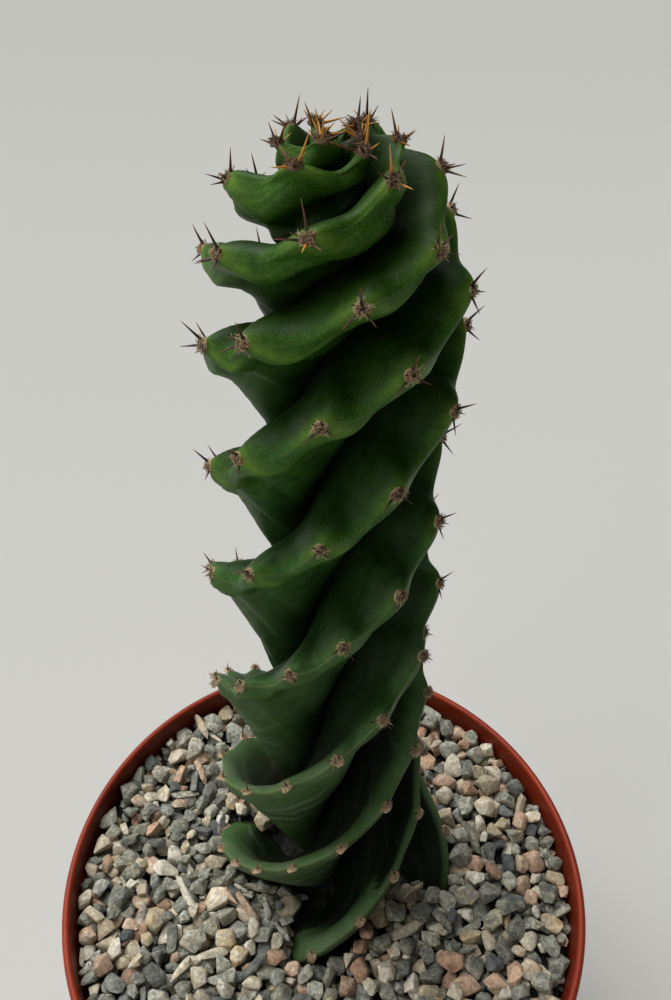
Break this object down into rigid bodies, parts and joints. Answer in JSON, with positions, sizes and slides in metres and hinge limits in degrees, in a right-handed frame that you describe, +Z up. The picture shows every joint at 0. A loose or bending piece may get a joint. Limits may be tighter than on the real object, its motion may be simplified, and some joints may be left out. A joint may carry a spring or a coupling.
{
  "type": "spiral cactus in a plastic pot",
  "caption": "Columnar cactus with four deep ribs wound like a screw, spined cushions along the crests, in a round tapered pot topped with gravel.",
  "frame": {"origin": "centre of the pot's foot, on the surface that the pot stands on", "axes": "+Z up along the pot's axis; the side that faces -Y is the front of the plant"},
  "size_m": [0.13, 0.13, 0.292],
  "materials": {
    "cactus_skin": "satin",
    "gravel_stone": "matte",
    "potting_soil": "matte",
    "terracotta_plastic": "satin"
  },
  "bodies": {
    "root": {"cactus": "cactus_skin", "gravel": "gravel_stone", "soil": "potting_soil", "pot": "terracotta_plastic"}
  },
  "joints": []
}
